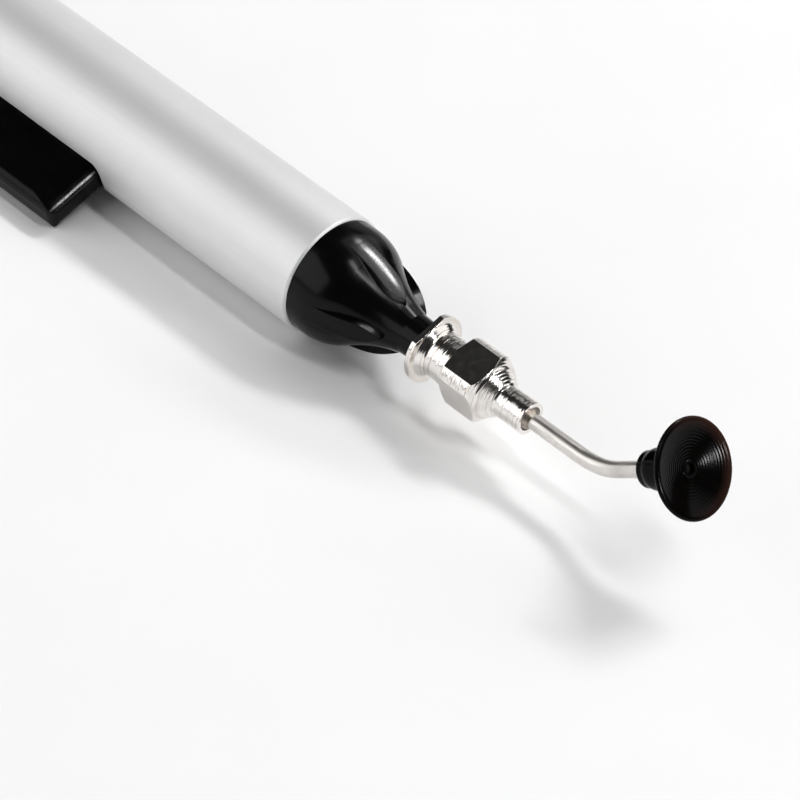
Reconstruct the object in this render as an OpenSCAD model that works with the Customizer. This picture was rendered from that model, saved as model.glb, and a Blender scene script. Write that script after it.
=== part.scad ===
/* [Barrel] */
// Outside diameter of the aluminium barrel
barrel_d = 13; // [11:0.1:16]
// Wall thickness of the barrel
barrel_wall = 0.8; // [0.6:0.05:1]
// Length of the barrel
barrel_l = 96; // [90:1:130]
// Bare chamfer around both ends of the barrel
barrel_edge = 0.2; // [0.1:0.05:0.4]

/* [Nose] */
// Length of the moulded nose from the barrel to its neck
nose_l = 11.4; // [9:0.1:14]
// How far the nose's base lies inside the barrel's outside radius
nose_inset = 0.25; // [0.2:0.05:0.5]
// Length of the straight base before the shoulder
base_l = 1.2; // [0.6:0.1:2]
// Radius of the rounded shoulder
shoulder_r = 6.5; // [5:0.1:7.5]
// Slope of the nose where the shoulder turns into the hollow
nose_slope = 34; // [30:1:38]
// Distance from the barrel to where the fins end
fin_end = 10; // [8:0.1:11]
// Radius of the curve along the back of each fin
fin_back_r = 18; // [16:0.5:22]
// Width of each fin
fin_w = 2.1; // [1.6:0.1:3]
// Length of each fin's pointed end
fin_point = 2.8; // [2:0.1:4]
// Turn of the first fin, measured from straight up
fin_turn = 2; // [-45:1:45]
// Length of the plug inside the barrel
plug_l = 8; // [5:0.5:12]

/* [Tapered needle fitting] */
// Diameter at the small end of the standard six per cent taper
taper_tip_d = 3.95; // [3.925:0.005:3.99]
// Length of the taper that the hub covers
taper_l = 5; // [4:0.5:7]
// Bare length of neck between the nose and the hub
neck_l = 2.46; // [1:0.02:5]
// Diameter of the air passage
air_d = 1.2; // [0.8:0.05:1.5]

/* [Needle hub] */
// Diameter across the lugs of the flange
flange_d = 7.3; // [6.9:0.1:8]
// Distance across the two flats of the flange
flange_flats = 6.2; // [5.6:0.1:6.6]
// Turn of the flats on the flange and the square block from level
flats_turn = 22.5; // [-45:0.5:45]
// Thickness of the flange's rim
flange_t = 0.55; // [0.3:0.05:1]
// Length of the slope from the flange to the collar
flange_slope = 0.9; // [0.5:0.05:1.4]
// Diameter of the round collar
collar_d = 4.95; // [4.8:0.05:5.4]
// Distance from the flange's rear face to the square block
block_x = 3.95; // [3:0.05:5]
// Distance across flats of the square block
block_w = 5.95; // [5.5:0.05:6.2]
// Length of the square block
block_l = 4.5; // [3.5:0.1:6]
// Diameter across the turned corners of the square block
block_corner_d = 7.2; // [6.6:0.1:7.6]
// Length of the turning at the rear of the block's corners
corner_back = 0.45; // [0.15:0.05:0.6]
// Length of the turning at the front of the block's corners
corner_front = 0.4; // [0.2:0.05:1]
// Length of the grooved cone
cone_l = 1.7; // [1.2:0.05:3]
// Depth of the turned grooves in the cone
groove_t = 0.09; // [0.04:0.01:0.12]
// Diameter of the round end
hub_end_d = 3.4; // [3.2:0.05:4]
// Length of the round end
hub_end_l = 3.3; // [2.5:0.1:5]

/* [Needle] */
// Outside diameter of the needle tube
needle_d = 1.65; // [1.5:0.01:1.8]
// Wall thickness of the needle tube
needle_wall = 0.23; // [0.15:0.01:0.3]
// Distance from the hub's end to the corner of the bend
needle_reach = 9.24; // [6:0.1:16]
// Angle of the bend
needle_bend = 35; // [20:1:45]
// Radius of the bend at the tube's centre
needle_bend_r = 8; // [4:0.5:9]
// Distance from the corner of the bend to the cup's lip
tip_reach = 12.7; // [11.5:0.02:18]

/* [Suction cup] */
// Diameter of the cup's lip
cup_d = 9.75; // [8:0.25:11]
// Rounding of the lip's outside edge
lip_edge = 0.25; // [0.15:0.05:0.3]
// Width of the flat land inside that rounding
lip_w = 0.2; // [0.15:0.05:0.4]
// Depth of the hollow face
dish_t = 0.75; // [0.5:0.05:0.9]
// Length of the flared part
flare_l = 2.4; // [2.2:0.1:3]
// Diameter of the flared part at its narrow end
flare_root_d = 6; // [4.8:0.1:6.4]
// Diameter of the cup's collar on the needle
cup_collar_d = 4.1; // [3.6:0.1:4.4]
// Length of the cup's collar
cup_collar_l = 3.35; // [2.8:0.05:4]

/* [Press lever] */
// Width of the lever
lever_w = 3.4; // [2.8:0.1:4]
// How far the lever stands out of the barrel
lever_proud = 6.6; // [4:0.1:8]
// Distance from the barrel's front end to the lever
lever_start = 27.6; // [24:0.1:32]
// Length from the lever's front end to its pivot
lever_l = 46.4; // [42:0.1:50]
// Rounding of the lever's long edges and front top edge
lever_edge = 0.9; // [0.4:0.05:1.2]
// Rounding of the lever's upright front edges
lever_nose_r = 0.8; // [0.3:0.05:1]
// Length over which the lever's sides curve in at the front
lever_taper_l = 3.2; // [2:0.1:5]
// How far each side curves in
lever_taper = 0.55; // [0.4:0.05:0.6]
// Rounding of the corners at the front of the lever's slot
slot_round = 1.5; // [1:0.1:1.5]
// Rounding of the lever's rear top corner
lever_heel_r = 5; // [2:0.5:6]
// Swing of the lever when it is fully pressed
lever_swing = 4; // [2:0.25:4.5]
// Diameter of the pivot pin
pin_d = 1.6; // [1.4:0.05:1.8]

/* [Air bladder] */
// Outside diameter of the rubber bladder
bladder_d = 8.4; // [7.6:0.1:8.8]
// Wall thickness of the bladder
bladder_wall = 1; // [0.6:0.1:1.2]
// Length of the bladder's body
bladder_l = 36; // [30:1:38]

/* [Rear cap] */
// Length of the cap behind the barrel
cap_l = 8; // [7:0.5:14]
// How far the cap's side lies inside the barrel's outside radius
cap_inset = 0.2; // [0.1:0.05:0.4]
// Rounding of the cap's end
cap_round = 2; // [0.5:0.1:2.5]

/* [Fits] */
// Clearance around pieces that stay put
seat_gap = 0.02; // [0.01:0.01:0.05]
// Clearance around pieces that turn or slide on each other
run_gap = 0.04; // [0.02:0.01:0.08]
// Clearance between the lever and the sides of its slot
slot_gap = 0.2; // [0.15:0.05:0.3]
// Clearance left between the lever and its stop, bladder and spring
rest_gap = 0.1; // [0.05:0.01:0.15]

/* [Hidden] */
$fn = 96;
SMOOTH = 240;
EPS = 0.01;

barrel_r = barrel_d / 2;
bore_r = barrel_r - barrel_wall;
plug_r = bore_r - seat_gap;

// The tapered neck, with its diameter growing by 0.06 mm in each millimetre
TAPER = 0.06;
hub_x = nose_l + neck_l;
taper_mouth_r = (taper_tip_d + TAPER * taper_l) / 2;
neck_root_r = taper_mouth_r + TAPER * neck_l / 2;
taper_tip_x = hub_x + taper_l;

// The shoulder's arc leaves the straight base and runs into a hollow arc that ends at the neck
nose_r = barrel_r - nose_inset;
turn_x = base_l + shoulder_r * sin(nose_slope);
turn_r = nose_r - shoulder_r * (1 - cos(nose_slope));
hollow_run = [nose_l - turn_x, turn_r - neck_root_r];
hollow_dip = nose_slope - atan2(hollow_run[1], hollow_run[0]);
hollow_r = norm(hollow_run) / (2 * sin(hollow_dip));

// Each fin is a strip with a pointed end
FIN_COUNT = 4;
FIN_ROOT = 1;
fin_side_r = (fin_point * fin_point + fin_w * fin_w / 4) / fin_w;

// The tail behind the nose that the bladder is pushed over
TAIL_WALL = 1.1;
air_r = air_d / 2;
tail_r = air_r + TAIL_WALL;
tail_l = 6;

// Hub stations, counted from the flange's rear face
flange_r = flange_d / 2;
collar_r = collar_d / 2;
block_r = block_w / 2;
cone_x = block_x + block_l;
hub_end_x = cone_x + cone_l;
hub_l = hub_end_x + hub_end_l;
hub_end_r = hub_end_d / 2;
CORNER_STEP = 0.05;
LUG_SLOPE = 0.1;
lug_foot_r = flange_flats / 2 - CORNER_STEP;
TAPER_CLEAR = 1;
GROOVE_COUNT = 5;
groove_pitch = cone_l / (GROOVE_COUNT + 1);
HUB_WALL = 0.4;
recess_r = hub_end_r - HUB_WALL;
RECESS_T = 0.4;
SOLDER_T = 0.5;

// Needle stations
needle_r = needle_d / 2;
needle_in_r = needle_r - needle_wall;
hub_front = hub_x + hub_l;
needle_back = hub_x + cone_x;
bend_x = hub_front + needle_reach;
bend_run = needle_bend_r * tan(needle_bend / 2);
BEND_SWELL = 0.005;
BEND_LAP = 0.05;
CUP_FACE_T = 0.55;
tube_end = tip_reach - dish_t - CUP_FACE_T;

// Suction cup, counted back from its lip
cup_r = cup_d / 2;
cup_collar_r = cup_collar_d / 2;
CUP_GROOVE_L = 0.25;
CUP_GROOVE_T = 0.25;
CUP_ROUND = 1.4;
cup_l = flare_l + CUP_GROOVE_L + cup_collar_l;
flare_root_r = flare_root_d / 2;
lip_r = cup_r - lip_edge;
land_r = lip_r - lip_w;
dish_r = (land_r * land_r + dish_t * dish_t) / (2 * dish_t);
hole_r = 0.55;
RING_R = 0.9;
RING_H = 0.15;

// Lever, measured outwards from the pen's axis
lever_r = barrel_r + lever_proud;
lever_x = -lever_start;
pivot_x = lever_x - lever_l;
PIVOT_DEPTH = 1.5;
pivot_r = bore_r - PIVOT_DEPTH;
pin_r = pin_d / 2;
EYE_WALL = 0.8;
eye_r = pin_r + run_gap + EYE_WALL;
FOOT_SIDE = 1.5;
FOOT_FRONT = 2.4;
FOOT_BACK = 8;
foot_w = lever_w + 2 * FOOT_SIDE;
foot_top = sqrt(pow(bore_r - rest_gap, 2) - foot_w * foot_w / 4);
foot_front = lever_x - FOOT_FRONT;
foot_back = pivot_x + FOOT_BACK;
bladder_r = bladder_d / 2;
bladder_drop = bore_r - rest_gap - bladder_r;
foot_low = bladder_r - bladder_drop + rest_gap;

// The pressed front end swings forward by this much where it passes the barrel's wall
press_t = lever_l * sin(lever_swing);
swing_out = (barrel_r + press_t - pivot_r) * sin(lever_swing) - lever_l * (1 - cos(lever_swing));
slot_front = lever_x + swing_out + rest_gap;
slot_back = pivot_x - eye_r - rest_gap;
slot_w = lever_w + 2 * slot_gap;

// Bladder stations
NECK_START = 1;
neck_x = -plug_l - NECK_START;
neck_wall = 1;
neck_r = tail_r + seat_gap + neck_wall;
BODY_START = 6;
body_x = neck_x - BODY_START - tail_l;
bladder_back = body_x - bladder_l;
CLAMP_START = 1.8;
CLAMP_L = 2.4;
CLAMP_T = 0.7;
clamp_x = neck_x - CLAMP_START - CLAMP_L;

// Return spring under the lever
SPRING_TURNS = 6;
SPRING_STEPS = 14;
WIRE_SIDES = 8;
wire_r = 0.22;
coil_r = 1.7;
spring_x = (foot_back + bladder_back) / 2;
spring_low = -sqrt(bore_r * bore_r - pow(coil_r + wire_r, 2)) + rest_gap;
spring_high = foot_low - rest_gap;

// The pen lies on its barrel and on the lever's lower edge
lean_a = lever_r - lever_edge;
lean_b = lever_w / 2 - lever_edge;
lean = asin((barrel_r - lever_edge) / norm([lean_a, lean_b])) - atan2(lean_b, lean_a);
lever_turn = 90 + lean;

// The frame's origin is under the middle of the part's box
lip_run = (tip_reach - lip_edge) * cos(needle_bend) + lip_r * sin(needle_bend);
tip_x = bend_x + lip_run + lip_edge;
tail_x = -barrel_l - cap_l;
side_y = -(cos(lean) * lean_a + sin(lean) * lean_b + lever_edge);
shift = [-(tip_x + tail_x) / 2, -(side_y + barrel_r) / 2, barrel_r];

// Sets the pen down on the floor
module on_floor() {
    translate(shift) children();
}

// Turns a half outline, given as radius and distance along the pen, about the pen's axis
module turned(x = 0) {
    translate([x, 0, 0]) rotate([0, 90, 0]) rotate_extrude() children();
}

// Plain rod along the pen
module rod(x0, x1, r) {
    translate([x0, 0, 0]) rotate([0, 90, 0]) cylinder(h = x1 - x0, r = r);
}

// Turns the lever's own upright direction to where the lever points
module at_lever() {
    rotate([lever_turn, 0, 0]) children();
}

// Takes a piece along the bent tip, with its X axis along the tip from the bend's corner
module at_tip() {
    translate([bend_x, 0, 0]) rotate([0, -needle_bend, 0]) children();
}

module barrel() {
    color("silver") on_floor() difference() {
        turned(-barrel_l) polygon([
            [bore_r, 0], [barrel_r - barrel_edge, 0], [barrel_r, barrel_edge],
            [barrel_r, barrel_l - barrel_edge], [barrel_r - barrel_edge, barrel_l], [bore_r, barrel_l]
        ]);
        at_lever() translate([slot_back, 0, 0]) rotate([0, 0, -90]) linear_extrude(height = barrel_d)
            round_ended(slot_w, slot_front - slot_back, slot_round);
        at_lever() translate([pivot_x, 0, pivot_r]) rotate([90, 0, 0])
            cylinder(h = 2 * barrel_d, r = pin_r + seat_gap, center = true);
    }
}

// Half outline of the nose between the fins
module nose_outline() {
    square([nose_r, base_l]);
    intersection() {
        translate([nose_r - shoulder_r, base_l]) circle(r = shoulder_r, $fn = SMOOTH);
        translate([0, base_l]) square([nose_r, turn_x - base_l]);
    }
    difference() {
        translate([0, turn_x]) square([turn_r + EPS, nose_l - turn_x]);
        translate([turn_r + hollow_r * cos(nose_slope), turn_x + hollow_r * sin(nose_slope)])
            circle(r = hollow_r, $fn = SMOOTH);
    }
}

// Outline of one fin, seen from outside, with its length along Y
module fin_plan() {
    translate([-fin_w / 2, FIN_ROOT]) square([fin_w, fin_end - fin_point - FIN_ROOT]);
    intersection() {
        translate([fin_w / 2 - fin_side_r, fin_end - fin_point]) circle(r = fin_side_r);
        translate([fin_side_r - fin_w / 2, fin_end - fin_point]) circle(r = fin_side_r);
        translate([-fin_w / 2, fin_end - fin_point]) square([fin_w, fin_point]);
    }
}

// The fins, whose backs lie on one arc that leaves the barrel parallel to it
module fins() {
    intersection() {
        turned() intersection() {
            translate([nose_r - fin_back_r, 0]) circle(r = fin_back_r, $fn = SMOOTH);
            square([barrel_d, nose_l]);
        }
        for (i = [0:FIN_COUNT - 1])
            rotate([fin_turn + i * 360 / FIN_COUNT, 0, 0]) rotate([0, 0, -90])
                linear_extrude(height = barrel_d) fin_plan();
    }
}

module nose_cone() {
    color("black") on_floor() difference() {
        union() {
            turned() nose_outline();
            fins();
            turned() polygon([
                [0, -plug_l - tail_l], [tail_r, -plug_l - tail_l], [tail_r, -plug_l], [plug_r, -plug_l],
                [plug_r, 0], [neck_root_r, 0], [neck_root_r, nose_l],
                [taper_tip_d / 2, taper_tip_x], [0, taper_tip_x]
            ]);
        }
        rod(-plug_l - tail_l - EPS, taper_tip_x + EPS, air_r);
    }
}

module rear_cap() {
    cap_r = barrel_r - cap_inset;
    color("black") on_floor() turned(-barrel_l) union() {
        square([plug_r, plug_l]);
        translate([0, -cap_l + cap_round]) square([cap_r, cap_l - cap_round]);
        translate([0, -cap_l]) square([cap_r - cap_round, cap_l]);
        intersection() {
            translate([cap_r - cap_round, -cap_l + cap_round]) circle(r = cap_round);
            translate([0, -cap_l]) square([barrel_d, cap_l]);
        }
    }
}

// The lever's outline from the side
module lever_side() {
    lever_h = lever_r - foot_low;
    heel_x = pivot_x + lever_heel_r;
    translate([pivot_x, foot_low]) square([lever_l, lever_h - lever_heel_r]);
    translate([heel_x, foot_low]) square([lever_l - lever_heel_r - lever_edge, lever_h]);
    translate([heel_x, foot_low]) square([lever_l - lever_heel_r, lever_h - lever_edge]);
    translate([heel_x, lever_r - lever_heel_r]) circle(r = lever_heel_r);
    translate([lever_x - lever_edge, lever_r - lever_edge]) circle(r = lever_edge);
}

// A strip with both corners at its far end rounded
module round_ended(w, l, r) {
    translate([-w / 2, 0]) square([w, l - r]);
    translate([-w / 2 + r, 0]) square([w - 2 * r, l]);
    translate([w / 2 - r, l - r]) circle(r = r);
    translate([-w / 2 + r, l - r]) circle(r = r);
}

// The lever's outline from above, with its length along Y and its sides curved in at the front
module lever_plan() {
    side_r = (lever_taper_l * lever_taper_l + lever_taper * lever_taper) / (2 * lever_taper);
    round_y = lever_taper_l - lever_nose_r;
    round_x = lever_w / 2 - side_r + sqrt(pow(side_r - lever_nose_r, 2) - round_y * round_y);
    touch_y = round_y * side_r / (side_r - lever_nose_r);
    translate([-lever_w / 2, 0]) square([lever_w, lever_l - lever_taper_l]);
    translate([0, lever_l - lever_taper_l]) {
        intersection() {
            translate([lever_w / 2 - side_r, 0]) circle(r = side_r, $fn = SMOOTH);
            translate([side_r - lever_w / 2, 0]) circle(r = side_r, $fn = SMOOTH);
            translate([-lever_w / 2, 0]) square([lever_w, touch_y]);
        }
        translate([-round_x, 0]) square([2 * round_x, lever_taper_l]);
        translate([round_x, round_y]) circle(r = lever_nose_r);
        translate([-round_x, round_y]) circle(r = lever_nose_r);
    }
}

module press_lever() {
    color("black") on_floor() at_lever() difference() {
        union() {
            intersection() {
                rotate([90, 0, 0]) linear_extrude(height = lever_w, center = true) lever_side();
                translate([pivot_x, 0, 0]) rotate([90, 0, 90]) linear_extrude(height = lever_l)
                    round_ended(lever_w, lever_r, lever_edge);
                translate([pivot_x, 0, 0]) rotate([0, 0, -90]) linear_extrude(height = lever_r)
                    lever_plan();
            }
            translate([foot_back, -foot_w / 2, foot_low])
                cube([foot_front - foot_back, foot_w, foot_top - foot_low]);
            translate([pivot_x, 0, pivot_r]) rotate([90, 0, 0])
                cylinder(h = lever_w, r = eye_r, center = true);
        }
        translate([pivot_x, 0, pivot_r]) rotate([90, 0, 0])
            cylinder(h = 2 * lever_w, r = pin_r + run_gap, center = true);
    }
}

module pivot_pin() {
    color("gray") on_floor() intersection() {
        at_lever() translate([pivot_x, 0, pivot_r]) rotate([90, 0, 0])
            cylinder(h = 2 * barrel_d, r = pin_r, center = true);
        rod(pivot_x - barrel_d, pivot_x + barrel_d, barrel_r - seat_gap);
    }
}

module return_spring() {
    rings = SPRING_TURNS * SPRING_STEPS;
    height = spring_high - spring_low - 2 * wire_r;
    points = [
        for (i = [0:rings]) for (j = [0:WIRE_SIDES - 1])
            let (a = 360 * i / SPRING_STEPS, b = 360 * j / WIRE_SIDES, r = coil_r + wire_r * cos(b))
                [r * cos(a), r * sin(a), spring_low + wire_r + height * i / rings + wire_r * sin(b)]
    ];
    sides = [
        for (i = [0:rings - 1]) for (j = [0:WIRE_SIDES - 1])
            let (k = (j + 1) % WIRE_SIDES, a = i * WIRE_SIDES, b = a + WIRE_SIDES)
                [a + j, b + j, b + k, a + k]
    ];
    first = [for (j = [0:WIRE_SIDES - 1]) j];
    last = [for (j = [WIRE_SIDES - 1:-1:0]) rings * WIRE_SIDES + j];
    color("gray") on_floor() at_lever() translate([spring_x, 0, 0])
        polyhedron(points = points, faces = concat([first], sides, [last]));
}

// A rod with ball ends along the pen, lowered on to the barrel's inside wall
module capsule(r) {
    x0 = bladder_back + bladder_r;
    x1 = body_x - bladder_r;
    translate([0, 0, -bladder_drop]) {
        rod(x0, x1, r);
        translate([x0, 0, 0]) sphere(r = r);
        translate([x1, 0, 0]) sphere(r = r);
    }
}

module air_bladder() {
    color("dimgray") on_floor() at_lever() difference() {
        union() {
            capsule(bladder_r);
            rod(body_x - bladder_r, neck_x, neck_r);
        }
        capsule(bladder_r - bladder_wall);
        rod(body_x - bladder_r, neck_x + EPS, tail_r + seat_gap);
    }
}

module bladder_clamp() {
    color("gray") on_floor() turned(clamp_x)
        translate([neck_r + seat_gap, 0]) square([CLAMP_T, CLAMP_L]);
}

module needle_hub() {
    hub_bore_r = taper_mouth_r + run_gap;
    hub_bore_end = taper_l + TAPER_CLEAR;
    hub_bore_end_r = hub_bore_r - TAPER * hub_bore_end / 2;
    grooves = [
        for (i = [1:GROOVE_COUNT])
            let (r = block_r - (block_r - hub_end_r) * i / (GROOVE_COUNT + 1), x = i * groove_pitch)
                each [[r, x - groove_pitch / 4], [r - groove_t, x], [r, x + groove_pitch / 4]]
    ];
    color("lightgray") on_floor() translate([hub_x, 0, 0]) difference() {
        union() {
            intersection() {
                turned() polygon([
                    [0, 0], [flange_r, 0], [flange_r, flange_t], [lug_foot_r, flange_t + LUG_SLOPE],
                    [collar_r, flange_t + flange_slope], [0, flange_t + flange_slope]
                ]);
                rotate([flats_turn, 0, 0]) translate([-EPS, -flange_d, -flange_flats / 2])
                    cube([block_x, 2 * flange_d, flange_flats]);
            }
            rod(flange_t, block_x + corner_back, collar_r);
            intersection() {
                rotate([flats_turn, 0, 0]) translate([block_x, -block_r, -block_r])
                    cube([block_l, block_w, block_w]);
                turned(block_x) polygon([
                    [0, 0], [collar_r + CORNER_STEP, 0], [block_corner_d / 2, corner_back],
                    [block_corner_d / 2, block_l - corner_front], [block_r + CORNER_STEP, block_l],
                    [0, block_l]
                ]);
            }
            turned(cone_x) polygon(concat(
                [[0, -corner_front], [hub_end_r, -corner_front], [hub_end_r, 0],
                 [block_r - CORNER_STEP, 0]],
                grooves,
                [[hub_end_r, cone_l], [hub_end_r, cone_l + hub_end_l], [0, cone_l + hub_end_l]]
            ));
        }
        turned() polygon([
            [0, -EPS], [hub_bore_r + TAPER * EPS / 2, -EPS], [hub_bore_end_r, hub_bore_end],
            [air_r, hub_bore_end + hub_bore_end_r - air_r], [air_r, hub_l - RECESS_T], [0, hub_l - RECESS_T]
        ]);
        rod(needle_back - hub_x, hub_l, needle_r + seat_gap);
        rod(hub_l - RECESS_T, hub_l + EPS, recess_r);
    }
}

// Round tube along the pen
module tube(x0, x1) {
    translate([x0, 0, 0]) rotate([0, 90, 0]) linear_extrude(height = x1 - x0) tube_ring();
}

// Cross-section of the needle, whose wall is thickened a little where it was bent
module tube_ring(swell = 0) {
    difference() {
        circle(r = needle_r + swell);
        circle(r = needle_in_r - swell);
    }
}

module needle_tube() {
    color("silver") on_floor() {
        tube(needle_back, bend_x - bend_run + BEND_LAP);
        translate([bend_x - bend_run, 0, needle_bend_r]) rotate([90, 90, 0])
            rotate_extrude(angle = needle_bend) translate([needle_bend_r, 0]) tube_ring(BEND_SWELL);
        at_tip() tube(bend_run - BEND_LAP, tube_end);
    }
}

module solder_fillet() {
    color("lightgray") on_floor() turned(hub_front - RECESS_T) polygon([
        [needle_r + seat_gap, 0], [recess_r - seat_gap, 0], [recess_r - seat_gap, RECESS_T / 2],
        [needle_r + seat_gap, RECESS_T + SOLDER_T]
    ]);
}

// Half outline of the cup's flare before its face is hollowed
module flare_outline() {
    polygon([
        [0, -flare_l], [flare_root_r, -flare_l], [lip_r + lip_edge / 2, -lip_edge * 3 / 2],
        [lip_r, -lip_edge], [lip_r, 0], [0, 0]
    ]);
    translate([lip_r, -lip_edge]) circle(r = lip_edge);
}

// Half outline of the cup's collar, whose rear edge is rounded
module collar_outline() {
    translate([0, -cup_l]) square([cup_collar_r - CUP_GROOVE_T, cup_l - flare_l + EPS]);
    translate([0, -cup_l + CUP_ROUND]) square([cup_collar_r, cup_collar_l - CUP_ROUND]);
    translate([0, -cup_l]) square([cup_collar_r - CUP_ROUND, cup_collar_l]);
    intersection() {
        translate([cup_collar_r - CUP_ROUND, -cup_l + CUP_ROUND]) circle(r = CUP_ROUND);
        translate([0, -cup_l]) square([cup_collar_r, cup_collar_l]);
    }
}

module suction_cup() {
    socket_l = cup_l - dish_t - CUP_FACE_T;
    color("black") on_floor() at_tip() turned(tip_reach) difference() {
        union() {
            difference() {
                flare_outline();
                translate([0, dish_r - dish_t]) circle(r = dish_r, $fn = SMOOTH);
            }
            polygon([
                [0, -dish_t - CUP_FACE_T / 2], [RING_R, -dish_t - CUP_FACE_T / 2],
                [RING_R, -dish_t], [RING_R - RING_H, -dish_t + RING_H], [0, -dish_t + RING_H]
            ]);
            collar_outline();
        }
        translate([0, -cup_l - EPS]) square([needle_r + run_gap, socket_l + run_gap + EPS]);
        translate([-EPS, -cup_l]) square([hole_r + EPS, 2 * cup_l]);
    }
}

barrel();
nose_cone();
rear_cap();
press_lever();
pivot_pin();
return_spring();
air_bladder();
bladder_clamp();
needle_hub();
needle_tube();
solder_fillet();
suction_cup();
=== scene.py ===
import math

import bmesh
import bpy
from mathutils import Matrix, Vector


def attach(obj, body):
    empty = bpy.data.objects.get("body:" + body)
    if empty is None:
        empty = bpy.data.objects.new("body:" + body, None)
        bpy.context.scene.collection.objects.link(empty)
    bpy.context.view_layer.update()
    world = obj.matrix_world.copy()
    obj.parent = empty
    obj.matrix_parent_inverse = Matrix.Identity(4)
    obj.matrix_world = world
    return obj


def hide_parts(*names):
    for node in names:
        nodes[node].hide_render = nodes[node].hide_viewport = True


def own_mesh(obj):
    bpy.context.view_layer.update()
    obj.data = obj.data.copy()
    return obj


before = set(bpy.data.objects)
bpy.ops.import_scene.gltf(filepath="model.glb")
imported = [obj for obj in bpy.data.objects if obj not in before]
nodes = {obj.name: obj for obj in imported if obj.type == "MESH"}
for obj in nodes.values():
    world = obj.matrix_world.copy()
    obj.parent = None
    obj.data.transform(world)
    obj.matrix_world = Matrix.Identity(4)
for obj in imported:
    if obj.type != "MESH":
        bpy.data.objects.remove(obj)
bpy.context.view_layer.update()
scene = bpy.context.scene
scene.view_settings.view_transform = "Standard"

# The places of the lowest and the highest corner in a bound box
LOW_CORNER, HIGH_CORNER = 0, 6
# The pen's own origin, on its axis at the barrel's front end. All sizes are in metres
barrel_low, barrel_high = (Vector(nodes["barrel"].bound_box[i]) for i in (LOW_CORNER, HIGH_CORNER))
barrel_middle = (barrel_low + barrel_high) / 2
PEN = Vector((barrel_high.x, barrel_middle.y, barrel_middle.z))
# Directions along the pen, level across it, and up
AHEAD, ACROSS, ABOVE = Vector((1, 0, 0)), Vector((0, 1, 0)), Vector((0, 0, 1))
# Directions out along the lever, and square to the lever
LEAN = math.radians(23.5085)
OUT = Vector((0, -math.cos(LEAN), -math.sin(LEAN)))
SIDE = Vector((0, -math.sin(LEAN), math.cos(LEAN)))
# The bent tip: how far ahead its bend lies, the bend's angle, and the distance from there to the cup's lip
BEND_REACH, BEND_ANGLE, TIP_REACH = 0.03655, math.radians(35), 0.0127
BEND = PEN + AHEAD * BEND_REACH
TIP = Vector((math.cos(BEND_ANGLE), 0, math.sin(BEND_ANGLE)))


# Materials

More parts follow.
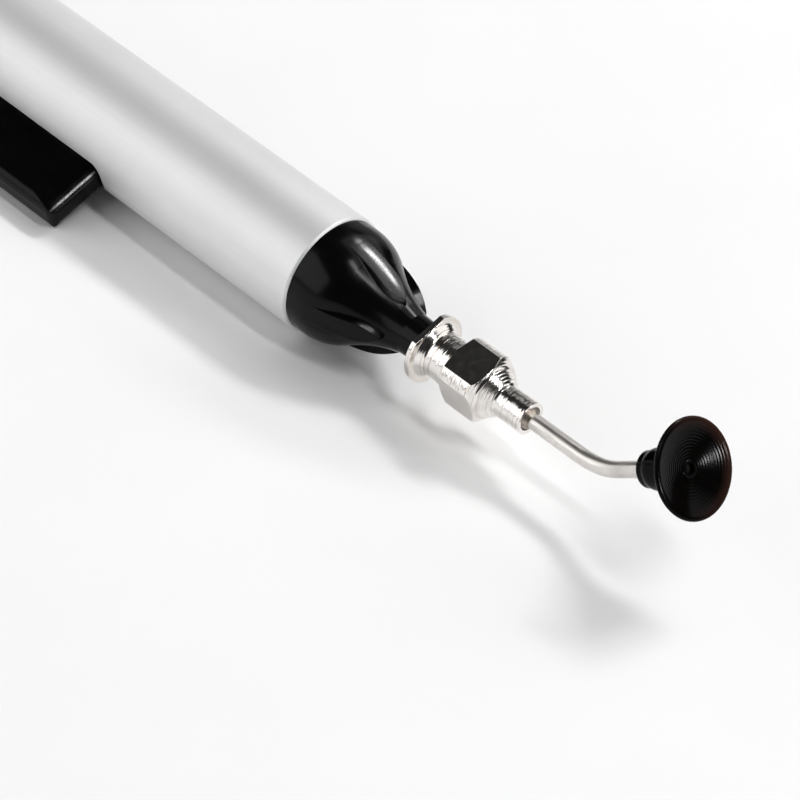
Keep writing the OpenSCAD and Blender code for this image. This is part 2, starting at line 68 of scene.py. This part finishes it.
class Surface:
    """A material in the making, whose nodes read object coordinates in metres."""

    # The depth of marks that are too fine to see and only spread the light
    FINE = 0.00001

    def __init__(self, name):
        self.material = bpy.data.materials.new(name)
        self.material.use_nodes = True
        self.tree = self.material.node_tree
        self.shader = self.tree.nodes["Principled BSDF"]
        self.place = self.tree.nodes.new("ShaderNodeTexCoord").outputs["Object"]

    def feed(self, socket, value):
        """Links a socket to another one, or sets its value."""
        if isinstance(value, bpy.types.NodeSocket):
            self.tree.links.new(value, socket)
        else:
            socket.default_value = value

    def add(self, kind, inputs=None, **settings):
        """Adds a node with its settings, and gives its inputs values or links."""
        made = self.tree.nodes.new(kind)
        for key, value in settings.items():
            setattr(made, key, value)
        for key, value in (inputs or {}).items():
            self.feed(made.inputs[key], value)
        return made

    def calculate(self, operation, first, second=0.0):
        """One step of arithmetic on one or two numbers."""
        return self.add("ShaderNodeMath", {0: first, 1: second}, operation=operation).outputs["Value"]

    def product(self, first, *others):
        """The product of any count of numbers."""
        for other in others:
            first = self.calculate("MULTIPLY", first, other)
        return first

    def combine(self, operation, first, second=(0, 0, 0), output="Vector"):
        """One step of arithmetic on one or two vectors."""
        return self.add("ShaderNodeVectorMath", {0: first, 1: second}, operation=operation).outputs[output]

    def ranged(self, value, low, high, start=0.3, end=0.7):
        """Goes from low to high as a value goes from start to end, a noise's usual spread by default."""
        inputs = {"Value": value, "From Min": start, "From Max": end, "To Min": low, "To Max": high}
        return self.add("ShaderNodeMapRange", inputs).outputs["Result"]

    def noise(self, size, detail=2, stretch=(1, 1, 1)):
        """Noise whose blotches are about size metres, drawn out along the axes by stretch."""
        scaled = self.add("ShaderNodeMapping", {"Vector": self.place, "Scale": [1 / s for s in stretch]})
        inputs = {"Vector": scaled.outputs["Vector"], "Scale": 1 / size, "Detail": detail}
        return self.add("ShaderNodeTexNoise", inputs).outputs["Fac"]

    def lines(self, distance, size, detail=2):
        """Uneven lines across a distance, as a lathe tool leaves them."""
        inputs = {"W": self.calculate("DIVIDE", distance, size), "Scale": 1.0, "Detail": detail}
        return self.add("ShaderNodeTexNoise", inputs, noise_dimensions="1D").outputs["Fac"]

    def waves(self, distance, pitch):
        """Even waves, from 0 to 1, over a distance."""
        turned = self.calculate("MULTIPLY", distance, 2 * math.pi / pitch)
        return self.ranged(self.calculate("SINE", turned), 0, 1, start=-1, end=1)

    def along(self, origin, axis):
        """Distance along an axis from a point."""
        return self.combine("DOT_PRODUCT", self.combine("SUBTRACT", self.place, origin), axis, "Value")

    def away(self, origin, axis):
        """Distance from an axis through a point."""
        swept = self.combine("CROSS_PRODUCT", self.combine("SUBTRACT", self.place, origin), axis)
        return self.combine("LENGTH", swept, output="Value")

    def mix(self, factor, first, second):
        """A colour between two colours, each given as three numbers or as a link."""
        inputs = {"Fac": factor}
        for key, colour in (("Color1", first), ("Color2", second)):
            inputs[key] = colour if isinstance(colour, bpy.types.NodeSocket) else (*colour, 1)
        return self.add("ShaderNodeMixRGB", inputs).outputs["Color"]

    def rounded(self, radius):
        """Normals that round the edges of a solid by a small radius."""
        return self.add("ShaderNodeBevel", {"Radius": radius}, samples=6).outputs["Normal"]

    def bump(self, height, strength, depth=FINE, normal=None):
        """Turns a height into a change of normal, on top of an earlier one."""
        inputs = {"Height": height, "Strength": strength, "Distance": depth}
        if normal:
            inputs["Normal"] = normal
        return self.add("ShaderNodeBump", inputs).outputs["Normal"]

    def tilted(self, normal, share):
        """Tilts a normal round the pen's axis by a share of its length."""
        inputs = {0: self.combine("CROSS_PRODUCT", normal, AHEAD), "Scale": share}
        tilt = self.add("ShaderNodeVectorMath", inputs, operation="SCALE").outputs["Vector"]
        return self.combine("NORMALIZE", self.combine("ADD", normal, tilt))

    def finish(self, colour, roughness, normal=None, metallic=0.0, specular=0.5):
        """Gives the shader its inputs, and returns the material."""
        inputs = {"Base Color": colour, "Roughness": roughness, "Metallic": metallic,
                  "Specular IOR Level": specular}
        if normal:
            inputs["Normal"] = normal
        for key, value in inputs.items():
            self.feed(self.shader.inputs[key], value)
        return self.material


def satin_aluminium():
    """Fine bead-blasted and clear anodised aluminium, with faint drawing lines along the tube."""
    mat = Surface("satin_aluminium")
    grain = mat.noise(size=0.00012, detail=3)
    drawn = mat.noise(size=0.00035, detail=3, stretch=(60, 1, 1))
    cloud = mat.noise(size=0.012)
    dull, bright, streak = (0.78, 0.78, 0.785), (0.82, 0.818, 0.822), (0.72, 0.72, 0.73)
    colour = mat.mix(mat.ranged(cloud, 0, 1), dull, bright)
    colour = mat.mix(mat.ranged(drawn, 0, 0.25), colour, streak)
    normal = mat.bump(drawn, strength=0.06, normal=mat.rounded(0.0001))
    normal = mat.bump(grain, strength=0.10, normal=normal)
    return mat.finish(colour, mat.ranged(grain, 0.46, 0.56), normal, metallic=0.62)


# The nose's top fin: its turn, half its width, and where its back begins and ends along the pen
FIN_TURN, FIN_HALF, FIN_BACK, FIN_FRONT = math.radians(2), 0.00105, 0.0025, 0.0101
# Over what lengths the wear on it fades: at its sides as a share of its half width, behind and in front
FIN_SIDE_FADE, FIN_BACK_FADE, FIN_FRONT_FADE = 0.1, 0.002, 0.0005
# How high above the pen's axis the wear begins, and where it is full
FIN_LOW, FIN_HIGH = 0.001, 0.002


def worn_fin(mat):
    """1 on the back of the nose's top fin, where a fingertip rests, and 0 elsewhere."""
    ahead = mat.along(PEN, AHEAD)
    sideways = ACROSS * math.cos(FIN_TURN) + ABOVE * math.sin(FIN_TURN)
    off_middle = mat.calculate("ABSOLUTE", mat.along(PEN, sideways))
    return mat.product(
        mat.ranged(off_middle, 1, 0, FIN_HALF * (1 - FIN_SIDE_FADE), FIN_HALF * (1 + FIN_SIDE_FADE)),
        mat.ranged(mat.along(PEN, ABOVE), 0, 1, FIN_LOW, FIN_HIGH),
        mat.ranged(ahead, 0, 1, FIN_BACK, FIN_BACK + FIN_BACK_FADE),
        mat.ranged(ahead, 1, 0, FIN_FRONT - FIN_FRONT_FADE, FIN_FRONT))


# The lever's front end along the pen, its half width there, and the rounding of its upright front edges
LEVER_FRONT, LEVER_HALF, LEVER_ROUND = -0.0276, 0.00115, 0.0008
# The shares of that rounding between which the wear grows, back from the front and in from the side
LEVER_FRONT_FADE, LEVER_SIDE_FADE = (1.2, 1.0), (0.4, 0.3)
# Where the wear on the upper one of those edges begins and ends, out from the pen's axis
LEVER_FOOT, LEVER_HEAD = 0.0067, 0.0125
# Over what lengths that wear fades at its two ends
LEVER_FOOT_FADE, LEVER_HEAD_FADE = 0.0006, 0.0009


def worn_lever(mat):
    """1 on the lever's upper front edge, where a finger slides over it, and 0 elsewhere."""
    outward = mat.along(PEN, OUT)
    return mat.product(
        mat.ranged(mat.along(PEN, AHEAD), 0, 1, *(LEVER_FRONT - LEVER_ROUND * s for s in LEVER_FRONT_FADE)),
        mat.ranged(mat.along(PEN, SIDE), 0, 1, *(LEVER_HALF - LEVER_ROUND * s for s in LEVER_SIDE_FADE)),
        mat.ranged(outward, 0, 1, LEVER_FOOT, LEVER_FOOT + LEVER_FOOT_FADE),
        mat.ranged(outward, 1, 0, LEVER_HEAD - LEVER_HEAD_FADE, LEVER_HEAD))


def black_plastic(name, roughness, grain_strength, specular, edge, worn, least_shine, most_shine):
    """Black moulded plastic with a faint flow texture and fine handling marks, shinier where it is worn."""
    mat = Surface(name)
    flow = mat.noise(size=0.004, stretch=(2, 1, 1))
    fine = mat.noise(size=0.00025, detail=3)
    rubbed = mat.noise(size=0.0009, detail=4, stretch=(6, 1, 1))
    speckle = mat.noise(size=0.00016, detail=3)
    black, charcoal = (0.0012, 0.0012, 0.0013), (0.0024, 0.0023, 0.0025)
    spread = 0.09
    colour = mat.mix(mat.ranged(flow, 0, 1), black, charcoal)
    normal = mat.bump(flow, strength=0.12, depth=0.00008, normal=mat.rounded(edge))
    normal = mat.bump(fine, strength=grain_strength, normal=normal)
    shine = mat.product(worn(mat), mat.ranged(speckle, least_shine, most_shine))
    return mat.finish(colour, mat.ranged(rubbed, roughness, roughness + spread), normal,
                      specular=mat.calculate("ADD", shine, specular))


# The square block on the hub: the turn of its flats, its middle along the pen, and half the flats' length
FLATS_TURN, BLOCK_MIDDLE, BLOCK_HALF = math.radians(22.5), 0.0201, 0.0024
# How near a normal has to be to a flat's own, as a cosine
FLAT_LIMIT = 0.9995


def flats_of_block(mat, distance):
    """1 on the milled flats of the hub's block and 0 elsewhere."""
    facing = mat.add("ShaderNodeNewGeometry").outputs["True Normal"]
    facing = mat.add("ShaderNodeVectorTransform", {"Vector": facing}, vector_type="NORMAL",
                     convert_from="WORLD", convert_to="OBJECT").outputs["Vector"]
    flats = (ABOVE * math.cos(FLATS_TURN) - ACROSS * math.sin(FLATS_TURN),
             ABOVE * math.sin(FLATS_TURN) + ACROSS * math.cos(FLATS_TURN))
    cosines = [mat.combine("DOT_PRODUCT", facing, flat, "Value") for flat in flats]
    nearest = mat.calculate("MAXIMUM", *(mat.calculate("ABSOLUTE", cosine) for cosine in cosines))
    level = mat.calculate("GREATER_THAN", nearest, FLAT_LIMIT)
    off_middle = mat.calculate("ABSOLUTE", mat.calculate("SUBTRACT", distance, BLOCK_MIDDLE))
    return mat.product(level, mat.calculate("LESS_THAN", off_middle, BLOCK_HALF))


def bright_plate():
    """Bright nickel plate over turned brass: uneven tool lines, with a faint warm painted shade in their
    hollows.
    """
    mat = Surface("bright_plate")
    distance = mat.along(PEN, AHEAD)
    turned = mat.calculate("SUBTRACT", 1.0, flats_of_block(mat, distance))
    tool = mat.lines(distance, size=0.00022, detail=3)
    feed = mat.lines(distance, size=0.00007)
    chatter = mat.lines(distance, size=0.00017)
    uneven = mat.noise(size=0.0006, detail=3)
    cloud = mat.noise(size=0.002)
    bright, dull, warm_shade = (0.90, 0.87, 0.845), (0.82, 0.785, 0.75), (0.44, 0.33, 0.24)
    most_tilt = 0.11
    colour = mat.mix(mat.ranged(cloud, 0, 1), bright, dull)
    # Painted shade: the tool lines' hollows are darkened towards a warm brown
    painted_hollow_shade = mat.product(mat.ranged(tool, 0, 0.6, start=0.54, end=0.72), turned)
    colour = mat.mix(painted_hollow_shade, colour, warm_shade)
    share = mat.product(mat.ranged(chatter, -most_tilt, most_tilt), turned)
    normal = mat.tilted(mat.rounded(0.00008), share)
    normal = mat.bump(mat.product(tool, turned), strength=0.5, depth=0.00003, normal=normal)
    normal = mat.bump(mat.product(feed, turned), strength=0.25, normal=normal)
    normal = mat.bump(uneven, strength=0.08, depth=0.00002, normal=normal)
    return mat.finish(colour, mat.ranged(uneven, 0.10, 0.19), normal, metallic=1.0)


def drawn_steel(name, stretch=(1, 1, 1)):
    """Drawn steel with streaks along its length."""
    mat = Surface(name)
    streaks = mat.noise(size=0.0002, detail=4, stretch=stretch)
    stain = mat.noise(size=0.003)
    light, dark, stained = (0.82, 0.79, 0.765), (0.65, 0.62, 0.59), (0.42, 0.39, 0.35)
    colour = mat.mix(mat.ranged(streaks, 0, 1), light, dark)
    colour = mat.mix(mat.ranged(stain, 0, 0.3), colour, stained)
    normal = mat.bump(streaks, strength=0.10)
    return mat.finish(colour, mat.ranged(streaks, 0.26, 0.40), normal, metallic=1.0)


def dull_solder():
    """Solder that has run out round the needle, greyer where flux has stained it."""
    mat = Surface("solder")
    lumps = mat.noise(size=0.0004, detail=3)
    stain = mat.noise(size=0.0002)
    clean, stained = (0.46, 0.42, 0.37), (0.20, 0.16, 0.12)
    colour = mat.mix(mat.ranged(stain, 0, 1), clean, stained)
    normal = mat.bump(lumps, strength=0.4, depth=0.00005)
    return mat.finish(colour, mat.ranged(lumps, 0.28, 0.5), normal, metallic=1.0)


# Painted light through the cup's thin rim, coloured brown on one side: the radii, and the places across the
# pen, between which it grows
RIM_INNER, RIM_OUTER = 0.0036, 0.0048
RIM_NEAR, RIM_FAR = -0.002, 0.0035
# The rings that the mould's tool left: their pitch on the face and on the sides, and how far they wander
RING_PITCH, STEP_PITCH, RING_WANDER = 0.0003, 0.00035, 0.00006


def cup_rubber():
    """Black moulded rubber whose tool left fine rings, with a brownish painted glow on one side of the rim,
    standing for light that comes through it.
    """
    mat = Surface("cup_rubber")
    radius = mat.away(BEND, TIP)
    from_lip = mat.along(BEND + TIP * TIP_REACH, TIP)
    wander = mat.noise(size=0.0012)
    uneven = mat.product(wander, RING_WANDER)
    rings = mat.waves(mat.calculate("ADD", radius, uneven), RING_PITCH)
    steps = mat.waves(mat.calculate("ADD", from_lip, uneven), STEP_PITCH)
    fine = mat.noise(size=0.0001)
    black, charcoal, painted_glow_brown = (0.0012, 0.0011, 0.001), (0.0022, 0.0019, 0.0017), (0.034, 0.015, 0.011)
    colour = mat.mix(mat.ranged(wander, 0, 1), black, charcoal)
    # Painted light: a brown glow on one side of the rim, standing for light shining through the rubber
    rim_glow_mask = mat.product(mat.ranged(radius, 0, 1, RIM_INNER, RIM_OUTER),
                       mat.ranged(mat.along(BEND, ACROSS), 0, 1, RIM_NEAR, RIM_FAR))
    colour = mat.mix(rim_glow_mask, colour, painted_glow_brown)
    normal = mat.bump(rings, strength=0.26, depth=0.00003, normal=mat.rounded(0.00012))
    normal = mat.bump(steps, strength=0.08, normal=normal)
    normal = mat.bump(fine, strength=0.06, normal=normal)
    return mat.finish(colour, mat.ranged(fine, 0.11, 0.15), normal, specular=0.055)


def bladder_rubber():
    """Matt dipped rubber with a dusting of powder."""
    mat = Surface("bladder_rubber")
    powder = mat.noise(size=0.0015, detail=4)
    fine = mat.noise(size=0.0003, detail=3)
    bare, dusted = (0.045, 0.045, 0.047), (0.085, 0.084, 0.082)
    colour = mat.mix(mat.ranged(powder, 0, 1), bare, dusted)
    return mat.finish(colour, mat.ranged(fine, 0.55, 0.75), mat.bump(fine, strength=0.2, depth=0.00003))


def pale_floor():
    """Matt floor with a faint, wide unevenness."""
    mat = Surface("floor")
    low, high = (0.885, 0.885, 0.885), (0.905, 0.905, 0.905)
    colour = mat.mix(mat.ranged(mat.noise(size=0.03), 0, 1), low, high)
    return mat.finish(colour, roughness=0.9, specular=0.1)


def paint(obj, material):
    """Gives an object one material in place of what it has."""
    obj.data.materials.clear()
    obj.data.materials.append(material)


gloss = black_plastic("black_gloss_plastic", roughness=0.14, grain_strength=0.02, specular=0.14,
                      edge=0.00015, worn=worn_fin, least_shine=0.35, most_shine=0.75)
satin = black_plastic("black_lever_plastic", roughness=0.17, grain_strength=0.05, specular=0.14,
                      edge=0.0003, worn=worn_lever, least_shine=0.7, most_shine=1.0)
steel = drawn_steel("steel")
for node, material in {
    "barrel": satin_aluminium(),
    "nose_cone": gloss,
    "rear_cap": gloss,
    "press_lever": satin,
    "pivot_pin": steel,
    "bladder_clamp": steel,
    "needle_hub": bright_plate(),
    "needle_tube": drawn_steel("needle_steel", stretch=(12, 1, 12)),
    "solder_fillet": dull_solder(),
    "suction_cup": cup_rubber(),
}.items():
    paint(nodes[node], material)


# Soft and springy pieces inside the barrel

def new_piece(name, mesh, body, material, replaced):
    """Makes an object of a finished mesh that stands for a CAD node and moves with a body."""
    data = bpy.data.meshes.new(name)
    bmesh.ops.recalc_face_normals(mesh, faces=mesh.faces)
    mesh.to_mesh(data)
    mesh.free()
    data.shade_smooth()
    obj = bpy.data.objects.new(name, data)
    scene.collection.objects.link(obj)
    paint(obj, material)
    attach(obj, body)
    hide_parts(replaced)
    return obj


def ring(mesh, centre, radius, first, second, sides):
    """A ring of vertices round a centre, in the plane of two directions."""
    turns = (2 * math.pi * i / sides for i in range(sides))
    return [mesh.verts.new(centre + radius * (first * math.cos(a) + second * math.sin(a))) for a in turns]


def join(mesh, rings):
    """Joins each ring of vertices to the next with faces."""
    for a, b in zip(rings, rings[1:]):
        for i in range(len(a)):
            j = (i + 1) % len(a)
            mesh.faces.new((a[i], a[j], b[j], b[i]))


# The bladder: its ends along the pen, its radii, its wall, and its drop off the axis, away from the lever
BLADDER_BACK, BLADDER_FRONT, NECK_FRONT = -0.057, -0.021, -0.0092
BLADDER_R, NECK_R, BLADDER_WALL, BLADDER_DROP = 0.0042, 0.00272, 0.00098, 0.0014
# Its mesh: sides, steps of the body and the slope, and rings of the round end and the shoulder in degrees
BLADDER_SIDES, BODY_STEPS, SLOPE_STEPS = 48, 24, 8
END_RINGS, SHOULDER_RINGS = (3, 8, 15, 24, 34, 45, 56, 67, 78, 90), range(0, 55, 6)
# The length of the slope from the shoulder to the neck, and the spacing and count of the neck's rings
SLOPE_L, NECK_STEP, NECK_STEPS = 0.0032, 0.003, 3


def bladder_rings(mesh, inset):
    """Rings of the bladder's skin from its closed end to its neck, all moved inwards by inset."""
    radius, neck = BLADDER_R - inset, NECK_R - inset
    back, front = BLADDER_BACK + BLADDER_R, BLADDER_FRONT - BLADDER_R
    # Each station is a place along the pen, a radius, and a share of the drop
    end_turns, shoulder_turns = map(math.radians, END_RINGS), map(math.radians, SHOULDER_RINGS)
    stations = [(back - radius * math.cos(a), radius * math.sin(a), 1) for a in end_turns]
    stations += [(back + (front - back) * i / BODY_STEPS, radius, 1) for i in range(1, BODY_STEPS)]
    stations += [(front + radius * math.sin(a), radius * math.cos(a), 1) for a in shoulder_turns]
    shoulder_x, shoulder_r, _ = stations[-1]
    for i in range(1, SLOPE_STEPS + 1):
        t = i / SLOPE_STEPS
        ease = t * t * (3 - 2 * t)
        stations.append((shoulder_x + SLOPE_L * t, shoulder_r + (neck - shoulder_r) * ease, 1 - ease))
    stations += [(BLADDER_FRONT + NECK_STEP * i, neck, 0) for i in range(1, NECK_STEPS + 1)]
    stations.append((NECK_FRONT, neck, 0))
    return [ring(mesh, PEN + AHEAD * x - OUT * BLADDER_DROP * share, r, OUT, SIDE, BLADDER_SIDES)
            for x, r, share in stations]


def bladder_mesh():
    """The bladder's outer and inner skin, closed at the back and joined round the neck's mouth."""
    mesh = bmesh.new()
    outer = bladder_rings(mesh, 0)
    inner = bladder_rings(mesh, BLADDER_WALL)
    for rings in (outer, inner, [outer[-1], inner[-1]]):
        join(mesh, rings)
    for end in (outer[0], inner[0]):
        mesh.faces.new(end)
    return mesh


# The spring: its radii, its place along the pen, and its ends along the lever's direction
COIL_R, WIRE_R, SPRING_X, SPRING_LOW, SPRING_HIGH = 0.0017, 0.00022, -0.0615, -0.00527, 0.0028
# Its turns, the pitch of its end turns as a share of the others', and its mesh's steps and sides
COIL_TURNS, END_PITCH, COIL_STEPS, WIRE_SIDES = 6, 0.25, 32, 12


def spring_mesh():
    """A coil whose first and last turns lie nearly flat, as on a ground compression spring."""
    mesh = bmesh.new()
    rings = []
    pitch = (SPRING_HIGH - SPRING_LOW - 2 * WIRE_R) / (COIL_TURNS - 2 + 2 * END_PITCH)
    for i in range(COIL_TURNS * COIL_STEPS + 1):
        turn = i / COIL_STEPS
        ends = min(turn, 1) + max(0, turn - COIL_TURNS + 1)
        middle = max(0, min(turn - 1, COIL_TURNS - 2))
        height = SPRING_LOW + WIRE_R + pitch * (END_PITCH * ends + middle)
        outward = AHEAD * math.cos(2 * math.pi * turn) + SIDE * math.sin(2 * math.pi * turn)
        centre = PEN + AHEAD * SPRING_X + outward * COIL_R + OUT * height
        rings.append(ring(mesh, centre, WIRE_R, outward, OUT, WIRE_SIDES))
    join(mesh, rings)
    for end in (rings[0], rings[-1]):
        mesh.faces.new(end)
    return mesh


bladder = new_piece("bladder", bladder_mesh(), "pen", bladder_rubber(), "air_bladder")
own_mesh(bladder)
spring = new_piece("spring", spring_mesh(), "pen", drawn_steel("spring_steel"), "return_spring")
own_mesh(spring)


# Floor, light and camera

FLOOR_HALF = 4
floor_mesh = bpy.data.meshes.new("floor")
floor_corners = [(x * FLOOR_HALF, y * FLOOR_HALF, 0) for x, y in ((-1, -1), (1, -1), (1, 1), (-1, 1))]
floor_mesh.from_pydata(floor_corners, [], [(0, 1, 2, 3)])
floor = bpy.data.objects.new("floor", floor_mesh)
scene.collection.objects.link(floor)
paint(floor, pale_floor())

scene.world = bpy.data.worlds.new("studio")
scene.world.use_nodes = True
background = scene.world.node_tree.nodes["Background"]
background.inputs["Color"].default_value = (1, 1, 1, 1)
background.inputs["Strength"].default_value = 0.02

# The point that the lamps face, near the nose
LIT_POINT = PEN + AHEAD * 0.005


def softbox(name, direction, distance, width, height, power):
    """A rectangular lamp that faces the lit point from a direction."""
    light = bpy.data.lights.new(name, "AREA")
    light.shape = "RECTANGLE"
    light.size, light.size_y, light.energy = width, height, power
    lamp = bpy.data.objects.new(name, light)
    scene.collection.objects.link(lamp)
    lamp.location = LIT_POINT + Vector(direction).normalized() * distance
    lamp.rotation_mode = "QUATERNION"
    lamp.rotation_quaternion = (LIT_POINT - lamp.location).to_track_quat("-Z", "Y")


softbox("over_wide", direction=(0.14, 0.60, 0.79), distance=1.2, width=1.4, height=1.4, power=6.6)
softbox("over_core", direction=(-0.02, 0.60, 0.80), distance=1.1, width=0.5, height=0.14, power=5)
softbox("right", direction=(0.45, -0.05, 0.89), distance=1.1, width=0.11, height=0.45, power=2.7)
softbox("far_right", direction=(0.906, 0.29, 0.308), distance=1.1, width=0.1, height=0.1, power=3.4)
softbox("low_left", direction=(-0.5, -0.72, 0.42), distance=1.05, width=1.8, height=0.85, power=7.4)
softbox("low_back", direction=(-0.5, 0.82, 0.26), distance=1.1, width=1.0, height=0.5, power=0.6)

# The camera's place from the pen's origin, and its axes to the right, up and back
CAMERA_PLACE = Vector((0.2076, -0.2360, 0.2369))
CAMERA_AXES = (0.6970, 0.7067, 0.1213), (-0.5140, 0.3745, 0.7718), (0.5000, -0.6003, 0.6242)
camera_data = bpy.data.cameras.new("camera")
camera_data.lens, camera_data.sensor_width = 180, 36
camera_data.clip_start, camera_data.clip_end = 0.01, 20
camera = bpy.data.objects.new("camera", camera_data)
scene.collection.objects.link(camera)
camera.matrix_world = Matrix.Translation(PEN + CAMERA_PLACE) @ Matrix(CAMERA_AXES).transposed().to_4x4()
scene.camera = camera
